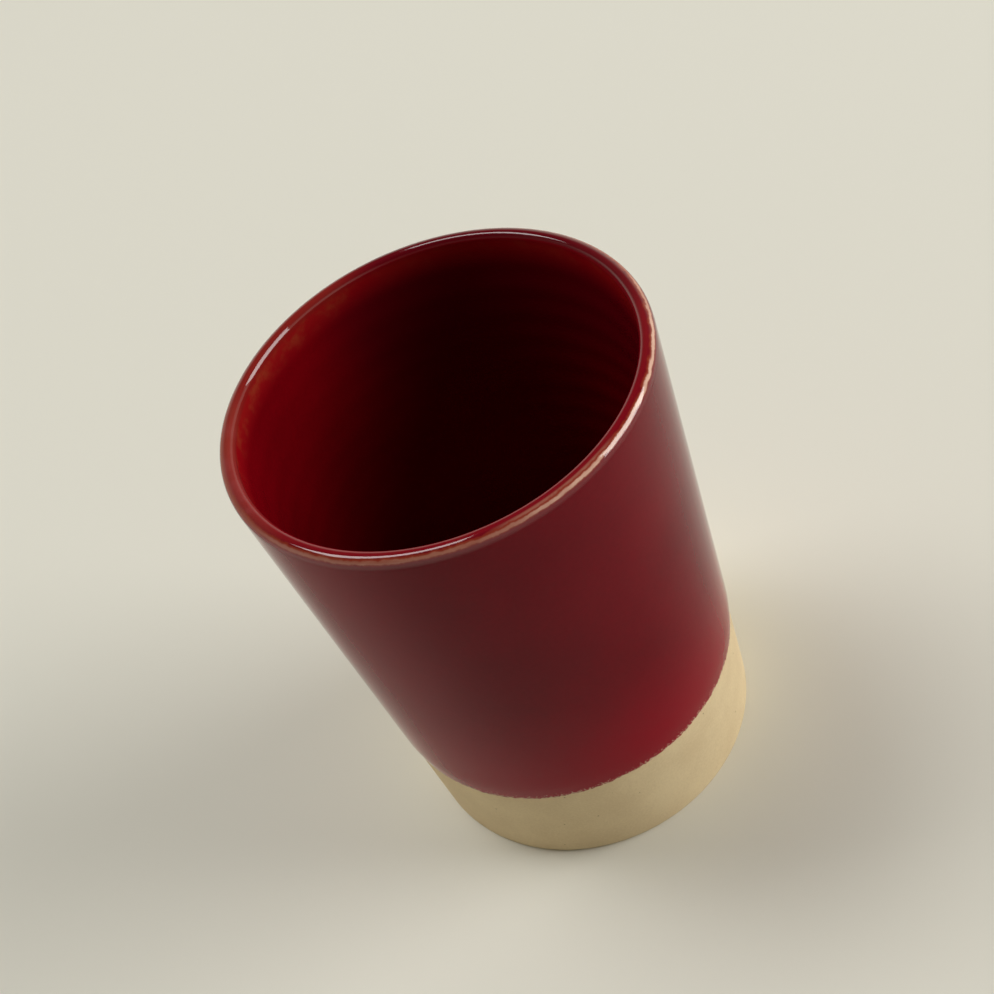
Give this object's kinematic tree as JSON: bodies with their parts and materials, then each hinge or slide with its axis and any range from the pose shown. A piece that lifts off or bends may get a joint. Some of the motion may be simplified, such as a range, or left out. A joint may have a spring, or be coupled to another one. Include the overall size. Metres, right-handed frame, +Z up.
{
  "type": "tumbler",
  "caption": "Handleless stoneware tumbler: a straight tapering wall with a rounded lip, red glaze inside and out, and a band of bare clay at the foot. Holds a drink.",
  "frame": {"origin": "centre of the foot, on the surface that the tumbler stands on", "axes": "+Z up along the axis that the tumbler was turned about; it is round, so X and Y are alike"},
  "size_m": [0.084, 0.084, 0.11],
  "materials": {
    "bare_stoneware": "unglazed, fine-grained, matte",
    "red_glaze": "deep copper red, glossy",
    "broken_lip_glaze": "thin red that breaks to tan, glossy",
    "liner_glaze": "deep copper red, glossy"
  },
  "bodies": {
    "root": {"stoneware_body": "bare_stoneware", "outer_glaze": "red_glaze", "lip_glaze": "broken_lip_glaze", "inner_glaze": "liner_glaze"}
  },
  "joints": []
}
